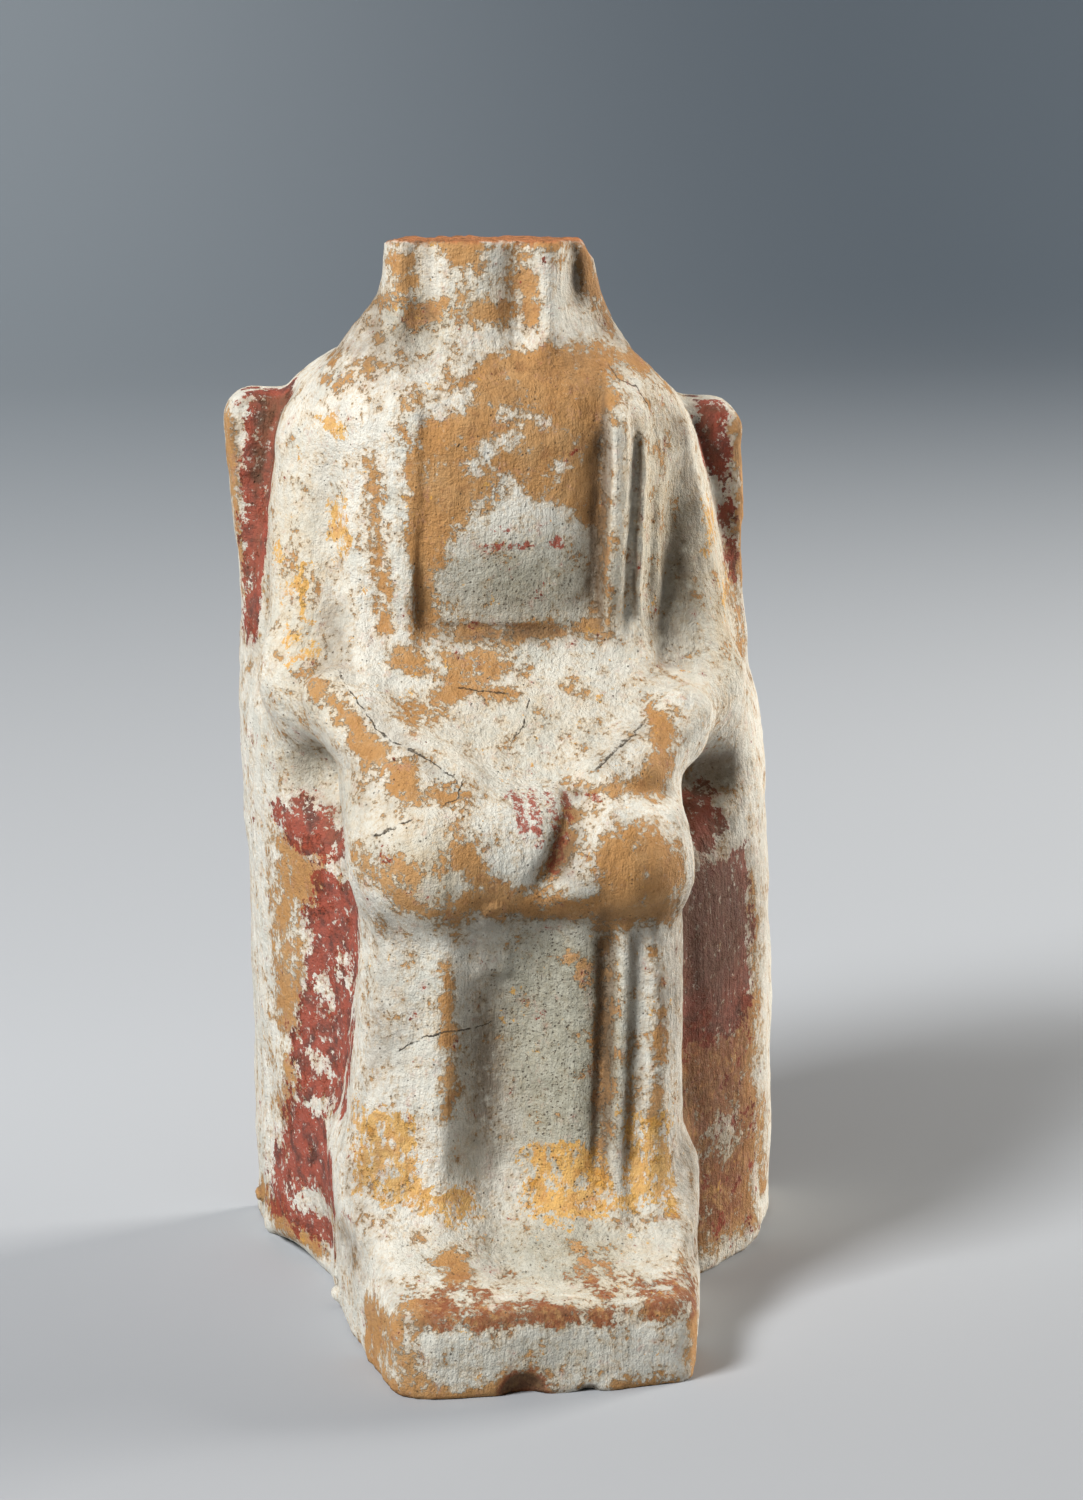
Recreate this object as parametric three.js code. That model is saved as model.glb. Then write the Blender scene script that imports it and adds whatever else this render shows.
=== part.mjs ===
import * as THREE from "three";

// A seated woman on a high-backed throne, feet on a footstool, in fired clay.
// The head is lost: the figure ends at a broken neck.
// Millimetres. x runs across, z up, and "f" forward from the flat back to the toes.

const HEIGHT = 153; // underside to the front rim of the broken neck
const THRONE_WIDTH = 77.6; // throne back, across its rounded upper corners
const BACK_THICKNESS = 8.5; // throne back
const ARM_REACH = 28; // armrest block, back plane to its outer front edge
const ARM_FLARE = 0.24; // how fast the throne sides open towards the back
const STOOL_REACH = 85.5; // back plane to the front of the footstool
const STOOL_WIDTH = 46; // footstool at its middle
const STOOL_HEIGHT = 12;
const SKIRT_WIDTH = 46.6; // across both shins
const KNEE_REACH = 62; // back plane to the front of the knees
const KNEE_RADIUS = 10.5;
const KNEE_SPREAD = 28.4; // between the two knee centres
const CHEST_REACH = 34.5; // back plane to the front of the chest
const CHEST_WIDTH = 68; // across the mantle at the upper arms
const SHOULDER_DROP = 12; // neck foot down to the points of the shoulders
const NECK_WIDTH = 29.6; // at the break
const NECK_DEPTH = 20;
const NECK_FRONT = 26.5; // back plane to the front of the neck
const FOREARM_RADIUS = 6;
const LAPPET_HALF_SPAN = 16.2; // middle of the chest to each hanging edge of the mantle
const LAPPET_RELIEF = 2.4;
const FOLD_DEPTH = 2.4; // valley between the shins
const DRIFT = 4.6; // sideways shift of the middle from the base to the neck
const TILT = 0.045; // the shoulders and throne back drop to one side
const BREAK_FALL = 0.12; // the broken face falls towards the back

// Heights that keep the proportions of the figure.
const HEM = 0.122 * HEIGHT;
const KNEE_UNDER = 0.41 * HEIGHT;
const KNEE = 0.45 * HEIGHT;
const ARM_TOP = 0.466 * HEIGHT;
const ELBOW = 0.58 * HEIGHT;
const WAIST = 0.637 * HEIGHT;
const BACK_TOP = 0.83 * HEIGHT;
const SHOULDER = 0.884 * HEIGHT;

const clamp = (v, low, high) => Math.min(high, Math.max(low, v));
const mix = (a, b, t) => a + (b - a) * t;
const swell = (v, centre, width) => Math.exp(-(((v - centre) / width) ** 2));

function ramp(v, from, to) {
  const t = clamp((v - from) / (to - from), 0, 1);
  return t * t * (3 - 2 * t);
}

// Union and intersection of two fields, the seam rounded over a width k.
function join(a, b, k) {
  const h = clamp(0.5 + (0.5 * (b - a)) / k, 0, 1);
  return mix(b, a, h) - k * h * (1 - h);
}

const common = (a, b, k) => -join(-a, -b, k);

// A limb between two points whose radius goes from ra to rb.
function limb([x, f, z], [ax, af, az], [bx, bf, bz], ra, rb) {
  const [dx, df, dz] = [bx - ax, bf - af, bz - az];
  const along = ((x - ax) * dx + (f - af) * df + (z - az) * dz) / (dx * dx + df * df + dz * dz);
  const t = clamp(along, 0, 1);
  return Math.hypot(x - ax - t * dx, f - af - t * df, z - az - t * dz) - mix(ra, rb, t);
}

const middle = (z) => DRIFT * (0.43 - ramp(z, 0.13 * HEIGHT, 0.98 * HEIGHT));

// Slab behind the figure: slightly waisted, with rounded upper corners.
function throneBack(x, f, z) {
  const corner = 0.065 * THRONE_WIDTH;
  const waist = 1.4 * swell(z, 0.62 * HEIGHT, 0.13 * HEIGHT) + 0.8 * ramp(z, 0.7 * HEIGHT, 0.4 * HEIGHT);
  const half = THRONE_WIDTH / 2 - waist;
  const qx = Math.abs(x) - half + corner;
  const qz = z - BACK_TOP + corner;
  const outline = Math.hypot(Math.max(qx, 0), Math.max(qz, 0)) + Math.min(Math.max(qx, qz), 0) - corner;
  return common(outline, f - BACK_THICKNESS, 3);
}

// Armrest blocks and seat: sides open backwards, fronts recede outwards.
function seat(x, f, z) {
  const half = THRONE_WIDTH / 2 - 1;
  const across = Math.abs(x);
  const side = across - half + ARM_FLARE * Math.max(f - 0.45 * ARM_REACH, 0);
  const slant = 0.78 * (across - half + 0.55 * ARM_FLARE * ARM_REACH) + 0.625 * (f - ARM_REACH);
  const front = common(slant, f - 1.5 * ARM_REACH, 6);
  const top = 0.88 * (z - ARM_TOP) + 0.48 * (f - ARM_REACH);
  const block = common(common(side, front, 4), top, 6);
  const wing = common(common(side, f - 1.08 * ARM_REACH, 10), z - ELBOW, 9);
  const hollow = swell(across, 0.76 * half, 4) * swell(z, 0.497 * HEIGHT, 3.2);
  return join(block, wing + 1.6 * hollow * ramp(f, 0.8 * ARM_REACH, ARM_REACH), 4);
}

// Trunk under the mantle, shoulders rounded off, and the neck rising from them.
function trunk(x, f, z) {
  const half = CHEST_WIDTH / 2 - 1.2 + 5 * ramp(z, 0.8 * HEIGHT, ELBOW);
  const reach = CHEST_REACH - 2 * ramp(z, 0.74 * HEIGHT, WAIST);
  const ring = (Math.abs(x / half) ** 2.3 + Math.abs(Math.max(f, 0) / reach) ** 2.3) ** (1 / 2.3);
  const wall = (ring - 1) * reach;
  const drop = SHOULDER_DROP * (x / (0.47 * CHEST_WIDTH)) ** 4 + 0.035 * Math.max(f - 16, 0) ** 1.7;
  const shoulders = common(wall, 0.8 * (z - SHOULDER - 0.4 + drop), 6);
  return common(shoulders, 1 - f + 0.4 * Math.max(z - BACK_TOP, 0), 3);
}

function neck(x, f, z) {
  const up = ramp(z, SHOULDER, HEIGHT);
  const half = NECK_WIDTH / 2 + 2.6 * (1 - up);
  const depth = NECK_DEPTH / 2;
  const ring = Math.hypot(x / half, (f - NECK_FRONT + depth) / depth);
  return common((ring - 1) * depth, 0.8 * HEIGHT - z, 4);
}

// Veil edges left and right of the throat.
function neckRelief(x, f, z) {
  const shown = ramp(z, SHOULDER - 2, SHOULDER + 6) * ramp(f, 0.5 * NECK_FRONT, 0.8 * NECK_FRONT);
  const half = NECK_WIDTH / 2;
  const grooves = swell(x, -0.76 * half, 0.11 * half) + swell(x, 0.23 * half, 0.13 * half);
  const rolls = swell(x, -0.95 * half, 0.12 * half) + swell(x, 0.5 * half, 0.16 * half);
  return shown * (rolls - 1.3 * grooves - 1.2 * swell(x, 0.78 * half, 0.12 * half));
}

// Mantle edges hanging over the chest, and the hollow beside them.
function chestRelief(x, f, z) {
  const span = LAPPET_HALF_SPAN;
  const shown = ramp(f, 0.45 * CHEST_REACH, 0.72 * CHEST_REACH);
  const fall = ramp(z, 0.598 * HEIGHT, 0.625 * HEIGHT) * (1 - ramp(z, 0.84 * HEIGHT, 0.88 * HEIGHT));
  const tongue = swell(x, -0.93 * span, 0.16 * span) + 0.8 * swell(x, -1.26 * span, 0.13 * span);
  const pleats = swell(x, 0.97 * span, 0.16 * span) + 0.85 * swell(x, 1.2 * span, 0.08 * span);
  const faint = 0.4 * swell(x, 1.36 * span, 0.07 * span);
  const low = ramp(z, 0.56 * HEIGHT, 0.64 * HEIGHT) * (1 - ramp(z, 0.73 * HEIGHT, 0.8 * HEIGHT));
  const hollow = low * (swell(x, 1.62 * span, 0.2 * span) + 0.3 * swell(x, -1.55 * span, 0.16 * span));
  const sleeveEdge = swell(x, mix(2.06, 1.72, ramp(z, WAIST, BACK_TOP)) * span, 0.14 * span);
  const relief = fall * (tongue + pleats + faint) - 1.9 * hollow + 0.5 * fall * sleeveEdge;
  const crease = swell(z, WAIST, 1.6) * ramp(span - Math.abs(x), 1, 5);
  return shown * LAPPET_RELIEF * (relief - 0.6 * crease);
}

// Thighs under a sloping lap, with the knees side by side.
function lap(x0, f, z) {
  const x = x0 + 0.8;
  const knee = KNEE_REACH - KNEE_RADIUS;
  const spread = KNEE_SPREAD / 2;
  const point = [Math.abs(x), f, z];
  const end = [spread, knee, KNEE];
  const hip = [spread, 0.42 * KNEE_REACH, 0.54 * HEIGHT];
  const thigh = limb(point, hip, end, 1.1 * KNEE_RADIUS, KNEE_RADIUS);
  const notch = 3.2 * swell(x, 0.09 * KNEE_SPREAD + 0.1 * (z - KNEE), 2.6) * ramp(z, KNEE - 4, KNEE + 3);
  const bar = limb(point, [0, knee, KNEE], end, KNEE_RADIUS, KNEE_RADIUS) + notch + 0.9 * swell(x, 0, 5);
  const slope = (f + z - KNEE_REACH - 0.441 * HEIGHT) * Math.SQRT1_2;
  const web = common(slope, f - KNEE_REACH + 5.5, 5);
  const sheet = common(common(web, Math.abs(x) - 0.9 * KNEE_SPREAD, 6), KNEE_UNDER - z, 5);
  return join(join(thigh, bar, 3), sheet, 3.5);
}

// Arms laid along the edges of the lap, the hands resting towards the knees.
function arms(x, f, z) {
  const point = [Math.abs(x), f, z];
  const half = THRONE_WIDTH / 2;
  const elbow = [0.75 * half, 0.86 * ARM_REACH, ELBOW - 1];
  const shoulder = [0.62 * half, 0.5 * ARM_REACH, 0.78 * HEIGHT];
  const wrist = [0.59 * half, 0.64 * KNEE_REACH, 0.552 * HEIGHT];
  const hand = [0.3 * half, 0.83 * KNEE_REACH, 0.515 * HEIGHT];
  const upper = limb(point, shoulder, elbow, 7, 7.5);
  const fore = limb(point, elbow, wrist, 7, FOREARM_RADIUS);
  const palm = limb(point, wrist, hand, FOREARM_RADIUS, 0.62 * FOREARM_RADIUS);
  return join(upper, join(fore, palm, 2), 5);
}

// Shins under the skirt: a rounded block with vertical folds, widest at the hem.
function skirt(x, f, z) {
  const down = 1 - ramp(z, HEM, KNEE_UNDER);
  const across = x + 2.5 + 2.5 * down;
  const half = SKIRT_WIDTH / 2 + 1.4 * down * down;
  const reach = KNEE_REACH - 5 + 4.2 * down;
  const front = f - reach + foldRelief(across, z);
  const block = common(Math.abs(across) - half, front, 11);
  return common(common(block, z - KNEE, 6), HEM - 4 - z, 5);
}

function foldRelief(x, z) {
  const half = SKIRT_WIDTH / 2;
  const shown = 1 - ramp(z, KNEE_UNDER - 6, KNEE_UNDER + 2);
  const valley = swell(x, -0.24 * half, 0.15 * half);
  const ridge = 0.45 * swell(x, -0.5 * half, 0.13 * half);
  const pleat = ramp(z, 0.1 * HEIGHT, 0.2 * HEIGHT) * swell(x, 0.49 * half, 0.06 * half);
  const crease = 0.4 * swell(x, 0.71 * half, 0.06 * half);
  const edge = 0.45 * swell(x, 0.6 * half, 0.07 * half) + 0.4 * swell(x, 0.85 * half, 0.1 * half);
  return shown * FOLD_DEPTH * (valley - ridge + 0.6 * pleat + crease - edge);
}

// Feet sloping down over the footstool, with a soft hollow between them.
function feet(x, f, z) {
  const across = x + 4.6;
  const half = SKIRT_WIDTH / 2;
  const share = clamp((STOOL_REACH - 1 - f) / (STOOL_REACH - KNEE_REACH), 0, 1.4);
  const between = 1.1 * swell(across, -0.18 * half, 0.13 * half) * ramp(share, 0.1, 0.6);
  const top = STOOL_HEIGHT - 0.6 + (HEM - STOOL_HEIGHT + 1) * share ** 1.35 - between;
  const side = Math.abs(across) - half + 3 - 3 * share;
  return common(common(z - top, side, 4), f - STOOL_REACH + 3, 3);
}

// Footstool: five-sided in plan, worn round, its front turned a little to one side.
function stool(x, f, z) {
  const half = STOOL_WIDTH / 2;
  const across = x + 5;
  const left = -0.975 * (across + half + 1.2) + 0.223 * (f - 0.7 * STOOL_REACH);
  const right = 0.955 * (across - half - 1.2) + 0.297 * (f - 0.82 * STOOL_REACH);
  const frontLeft = -0.05 * (across - 0.05 * half) + f - STOOL_REACH;
  const frontRight = 0.2 * (across - 0.05 * half) + 0.98 * (f - STOOL_REACH);
  const sides = common(left, common(right, Math.abs(across) - half - 2.2, 4), 4);
  const plan = common(sides, common(frontLeft, frontRight, 3), 4.5);
  return common(plan, z - STOOL_HEIGHT + 0.03 * Math.abs(across), 3.2);
}

// The underside touches the ground in its middle; the outer corners are lifted.
function underside(x, f, z) {
  const corner = ramp(Math.abs(x) / (THRONE_WIDTH / 2), 0.72, 1) * ramp(f, 0.3 * ARM_REACH, ARM_REACH);
  return -1.2 + (3.6 - 0.03 * x) * corner - z;
}

// Negative inside the clay, positive outside, in the leaning frame of the piece.
function clay(x0, f, z0) {
  const x = x0 - middle(z0);
  const z = z0 + TILT * x * ramp(z0, 0.15 * HEIGHT, 0.8 * HEIGHT);
  let d = join(throneBack(x, f, z), seat(x, f, z), 3);
  const body = trunk(x, f, z) - chestRelief(x, f, z);
  const throat = neck(x, f, z) - neckRelief(x, f, z);
  d = join(d, join(body, throat, 9), 1.6);
  d = join(d, arms(x, f, z), 3);
  d = join(d, lap(x, f, z), 3);
  const rest = join(stool(x, f, z), feet(x, f, z), 3);
  d = join(d, join(skirt(x, f, z), rest, 7), 3);
  return common(common(d, -f, 2.5), underside(x, f, z), 2.5);
}

// Outermost crossing of the surface along a ray that starts inside.
function surfaceAlong(x, f, z, dx, df) {
  const far = 1.2 * STOOL_REACH;
  const step = 0.8;
  let outside = far;
  while (outside > step && clay(x + dx * outside, f + df * outside, z) > 0) outside -= step;
  let inner = outside;
  let outer = outside + step;
  for (let i = 0; i < 14; i++) {
    const half = (inner + outer) / 2;
    if (clay(x + dx * half, f + df * half, z) > 0) outer = half;
    else inner = half;
  }
  return [x + dx * inner, f + df * inner];
}

// Rays of one level, from the right rear round the side, across the front, and back.
const FRONT_RAYS = 42;
const FAN_RAYS = 9;
const BACK_RAYS = 4;

function rays() {
  const list = [];
  const fan = (side) => Array.from({ length: FAN_RAYS }, (_, i) => {
    const angle = mix(-52, 82, i / (FAN_RAYS - 1)) * (Math.PI / 180);
    return { along: side, dx: side * Math.cos(angle), df: Math.sin(angle) };
  });
  list.push(...fan(1));
  for (let i = 0; i < FRONT_RAYS; i++) {
    const t = 1 - (2 * i) / (FRONT_RAYS - 1);
    list.push({ along: t - 0.06 * Math.sin(2 * Math.PI * t), dx: 0, df: 1 });
  }
  list.push(...fan(-1).reverse());
  for (let i = 0; i < BACK_RAYS; i++) {
    list.push({ along: mix(-0.75, 0.75, i / (BACK_RAYS - 1)), dx: 0, df: -1 });
  }
  return list;
}

// Levels: close together where the form turns, wide apart on the plain stretches.
function levels() {
  const bands = [
    [0, STOOL_HEIGHT - 3, 5],
    [STOOL_HEIGHT - 3, HEM + 3, 12],
    [HEM + 3, KNEE_UNDER - 3, 10],
    [KNEE_UNDER - 3, ARM_TOP + 4, 11],
    [ARM_TOP + 4, WAIST + 3, 13],
    [WAIST + 3, BACK_TOP - 5, 9],
    [BACK_TOP - 5, BACK_TOP + 2, 6],
    [BACK_TOP + 2, SHOULDER + 5, 6],
    [SHOULDER + 5, HEIGHT, 4],
  ];
  const list = [0];
  for (const [from, to, count] of bands) {
    for (let i = 1; i <= count; i++) list.push(mix(from, to, i / count));
  }
  return list;
}

function solid() {
  const columns = rays();
  const heights = levels();
  const points = [];
  for (const z of heights) {
    const high = ramp(z, BACK_TOP - 1, SHOULDER + 2);
    const spine = mix(0.4 * THRONE_WIDTH, 0.3 * NECK_WIDTH, high);
    const root = mix(0.6 * BACK_THICKNESS, NECK_FRONT - NECK_DEPTH / 2, high);
    const fall = BREAK_FALL * ramp(z, SHOULDER, HEIGHT);
    for (const { along, dx, df } of columns) {
      const [x, f] = surfaceAlong(middle(z) + along * spine, root, z, dx, df);
      points.push([x, f, z - fall * (NECK_FRONT - f) - 0.4 * TILT * x * ramp(z, SHOULDER, HEIGHT)]);
    }
  }
  const around = columns.length;
  const last = (heights.length - 1) * around;
  const faces = [];
  for (let level = 0; level < heights.length - 1; level++) {
    for (let i = 0; i < around; i++) {
      const a = level * around + i;
      const b = level * around + ((i + 1) % around);
      faces.push(a, b + around, b, a, a + around, b + around);
    }
  }
  const foot = points.push([middle(0), 0.5 * ARM_REACH, 0]) - 1;
  const rim = points.slice(last, last + around);
  const centre = [0, 1, 2].map((axis) => rim.reduce((sum, p) => sum + p[axis], 0) / around);
  const top = points.push(centre) - 1;
  for (let i = 0; i < around; i++) {
    const next = (i + 1) % around;
    faces.push(foot, i, next, top, last + next, last + i);
  }
  return { points, faces };
}

// Stand the piece with the middle of its box over the origin, facing -Y.
function geometry() {
  const { points, faces } = solid();
  const low = [0, 1, 2].map((axis) => Math.min(...points.map((p) => p[axis])));
  const high = [0, 1, 2].map((axis) => Math.max(...points.map((p) => p[axis])));
  const shape = new THREE.BufferGeometry();
  const place = ([x, f, z]) => [x - (low[0] + high[0]) / 2, (low[1] + high[1]) / 2 - f, z - low[2]];
  shape.setAttribute("position", new THREE.Float32BufferAttribute(points.flatMap(place), 3));
  shape.setIndex(faces);
  shape.computeVertexNormals();
  return shape;
}

const figurine = new THREE.Mesh(geometry(), new THREE.MeshStandardMaterial({
  name: "painted_terracotta",
  color: 0xc9b18c,
  roughness: 0.9,
  metalness: 0,
}));
figurine.name = "figurine";

const group = new THREE.Group();
group.name = "classical_figurine";
group.add(figurine);

export default group;
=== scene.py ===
import math

import bpy
import numpy as np
from mathutils import Matrix, Vector


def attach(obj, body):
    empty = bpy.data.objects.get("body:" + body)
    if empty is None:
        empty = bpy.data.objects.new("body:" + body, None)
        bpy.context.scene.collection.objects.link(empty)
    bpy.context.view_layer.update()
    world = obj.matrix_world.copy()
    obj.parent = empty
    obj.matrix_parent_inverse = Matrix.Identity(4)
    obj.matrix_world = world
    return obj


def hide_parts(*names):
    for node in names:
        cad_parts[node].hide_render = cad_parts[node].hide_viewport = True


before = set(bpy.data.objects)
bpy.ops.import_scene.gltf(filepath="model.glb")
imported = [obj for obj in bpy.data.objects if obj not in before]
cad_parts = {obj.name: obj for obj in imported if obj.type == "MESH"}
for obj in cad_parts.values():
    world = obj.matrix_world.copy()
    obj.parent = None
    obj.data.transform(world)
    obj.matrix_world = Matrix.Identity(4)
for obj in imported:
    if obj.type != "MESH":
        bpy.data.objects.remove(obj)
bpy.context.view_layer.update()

# The clay is worked out in millimetres: x across, f forward from the flat back, z up.
MM = 0.001
HEIGHT = 153.0
THRONE_WIDTH = 77.6
BACK_THICKNESS = 8.5
ARM_REACH = 28.0
ARM_FLARE = 0.24
STOOL_REACH = 85.5
STOOL_WIDTH = 46.0
STOOL_HEIGHT = 12.0
SKIRT_WIDTH = 46.6
KNEE_REACH = 62.0
KNEE_RADIUS = 10.5
KNEE_SPREAD = 28.4
CHEST_REACH = 34.5
CHEST_WIDTH = 68.0
SHOULDER_DROP = 12.0
NECK_WIDTH = 29.6
NECK_DEPTH = 20.0
NECK_FRONT = 26.5
FOREARM_RADIUS = 6.0
LAPPET_HALF_SPAN = 16.2
LAPPET_RELIEF = 2.4
FOLD_DEPTH = 2.4
DRIFT = 4.6
TILT = 0.045
BREAK_FALL = 0.12

HEM = 0.122 * HEIGHT
KNEE_UNDER = 0.41 * HEIGHT
KNEE = 0.45 * HEIGHT
ARM_TOP = 0.466 * HEIGHT
ELBOW = 0.58 * HEIGHT
WAIST = 0.637 * HEIGHT
BACK_TOP = 0.83 * HEIGHT
SHOULDER = 0.884 * HEIGHT

# Where a painted place fades, so that it stays off what lies behind or above its part. Each is
# a start and an end: of f, and of z for the tops of the feet.
CORNER_FRONT = (11, 14)
LAP_REAR = (40, 50)
THRONE_FRONT = (44, 50)
STOOL_REAR = (60, 70)
FEET_TOP = (16, 20)

# Grid that the skin is drawn on, and how far a point moves at once, as a share of a cell.
CELL = 0.74
CELL_CORNERS = [(i, j, k) for i in (0, 1) for j in (0, 1) for k in (0, 1)]
LARGEST_MOVE = 0.35
GRID_LOW = (-42.0, -1.2, -1.2)
GRID_HIGH = (42.0, 87.0, 154.5)

# Viewpoint: how the camera stands to the figure. Picture height and focal length are in
# picture points.
PICTURE_HEIGHT = 1500
YAW = math.radians(-6.8)
PITCH = math.radians(14.4)
DISTANCE = 740.0
FOCAL = 5180.0
AIM = np.array([1.6, 45.0, 82.6])
SENSOR_WIDTH = 36


def mix(a, b, t):
    return a + (b - a) * t


def swell(v, centre, width):
    """A round bump of height 1."""
    return np.exp(-(((v - centre) / width) ** 2))


def ramp(v, start, end):
    """Smooth rise from 0 at start to 1 at end."""
    t = np.clip((v - start) / (end - start), 0, 1)
    return t * t * (3 - 2 * t)


def join(a, b, k):
    """Both forms together, with a fillet about k wide where they meet."""
    h = np.clip(0.5 + 0.5 * (b - a) / k, 0, 1)
    return mix(b, a, h) - k * h * (1 - h)


def common(a, b, k):
    """What two forms share, with edges rounded over about k."""
    return -join(-a, -b, k)


def plateau(v, start, end, soft):
    """1 between start and end, 0 outside, with soft edges."""
    return ramp(v, start - soft, start + soft) * (1 - ramp(v, end - soft, end + soft))


def limb(x, f, z, a, b, ra, rb):
    """Round limb from a to b that tapers from radius ra to rb."""
    d = [q - p for p, q in zip(a, b)]
    along = ((x - a[0]) * d[0] + (f - a[1]) * d[1] + (z - a[2]) * d[2]) / sum(c * c for c in d)
    t = np.clip(along, 0, 1)
    gap = (x - a[0] - t * d[0]) ** 2 + (f - a[1] - t * d[1]) ** 2 + (z - a[2] - t * d[2]) ** 2
    return np.sqrt(gap) - mix(ra, rb, t)


def ball(x, f, z, centre, radii):
    """How far out from the middle of an ellipsoid: 1 on its surface."""
    return np.sqrt(sum(((v - c) / r) ** 2 for v, c, r in zip((x, f, z), centre, radii)))


LATTICE = np.random.default_rng(11).uniform(-1, 1, (32, 32, 32)).astype(np.float32)


def noise(x, f, z, size):
    """Smooth noise from -1 to 1 whose lumps are about size millimetres."""
    cells, parts = [], []
    for v in (x, f, z):
        v = v / size + 1000.0
        whole = np.floor(v)
        part = v - whole
        cells.append(whole.astype(np.int64))
        parts.append(part * part * (3 - 2 * part))
    total = 0.0
    for corner in range(8):
        bits = [(corner >> axis) & 1 for axis in range(3)]
        weight = 1.0
        for bit, part in zip(bits, parts):
            weight = weight * (part if bit else 1 - part)
        place = tuple((cell + bit) & 31 for cell, bit in zip(cells, bits))
        total = total + weight * LATTICE[place]
    return total


def middle(z):
    """Where the middle line of the figure runs: it leans to the left as it rises."""
    return 2.0 - DRIFT * ramp(z, 0.13 * HEIGHT, 0.98 * HEIGHT)


def throne_back(x, f, z):
    corner = 0.065 * THRONE_WIDTH
    waist = 1.4 * swell(z, 0.62 * HEIGHT, 0.13 * HEIGHT) + 0.8 * ramp(z, 0.7 * HEIGHT, 0.4 * HEIGHT)
    qx = np.abs(x) - THRONE_WIDTH / 2 + waist + corner
    qz = z - BACK_TOP + corner
    outline = np.hypot(np.maximum(qx, 0), np.maximum(qz, 0)) + np.minimum(np.maximum(qx, qz), 0)
    return common(outline - corner, f - BACK_THICKNESS, 3)


def seat(x, f, z):
    half = THRONE_WIDTH / 2 - 1
    across = np.abs(x)
    side = across - half + ARM_FLARE * np.maximum(f - 0.45 * ARM_REACH, 0)
    slant = 0.78 * (across - half + 0.55 * ARM_FLARE * ARM_REACH) + 0.625 * (f - ARM_REACH)
    front = common(slant, f - 1.5 * ARM_REACH, 6)
    top = 0.88 * (z - ARM_TOP) + 0.48 * (f - ARM_REACH)
    block = common(common(side, front, 4), top, 6)
    wing = common(common(side, f - 1.08 * ARM_REACH, 10), z - ELBOW, 9)
    hollow = swell(across, 0.76 * half, 4) * swell(z, 0.497 * HEIGHT, 3.2)
    return join(block, wing + 1.6 * hollow * ramp(f, 0.8 * ARM_REACH, ARM_REACH), 4)


def trunk(x, f, z):
    half = CHEST_WIDTH / 2 - 1.2 + 5 * ramp(z, 0.8 * HEIGHT, ELBOW)
    reach = CHEST_REACH - 2 * ramp(z, 0.74 * HEIGHT, WAIST)
    ring = (np.abs(x / half) ** 2.3 + (np.maximum(f, 0) / reach) ** 2.3) ** (1 / 2.3)
    wall = (ring - 1) * reach
    drop = SHOULDER_DROP * (x / (0.47 * CHEST_WIDTH)) ** 4 + 0.035 * np.maximum(f - 16, 0) ** 1.7
    shoulders = common(wall, 0.8 * (z - SHOULDER - 0.4 + drop), 6)
    return common(shoulders, 1 - f + 0.4 * np.maximum(z - BACK_TOP, 0), 3)


def neck(x, f, z):
    half = NECK_WIDTH / 2 + 2.6 * (1 - ramp(z, SHOULDER, HEIGHT))
    depth = NECK_DEPTH / 2
    ring = np.hypot(x / half, (f - NECK_FRONT + depth) / depth)
    return common((ring - 1) * depth, 0.8 * HEIGHT - z, 4)


def neck_relief(x, f, z):
    shown = ramp(z, SHOULDER - 2, SHOULDER + 6) * ramp(f, 0.5 * NECK_FRONT, 0.8 * NECK_FRONT)
    half = NECK_WIDTH / 2
    left = swell(x, -0.95 * half, 0.12 * half) - 1.1 * swell(x, -0.68 * half, 0.13 * half)
    side_groove = 0.7 * swell(x, 0.78 * half, 0.1 * half) * ramp(z, 141, 146)
    right = swell(x, 0.52 * half, 0.15 * half) - side_groove
    throat_groove = 1.7 * swell(x, 0.2 * half, 0.15 * half)
    return shown * (left + 1.3 * right - throat_groove)


def lean(z):
    """How far the mantle edges shift sideways between the waist and the shoulders."""
    return 2.0 * ramp(z, WAIST, BACK_TOP) - 1.0


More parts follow.
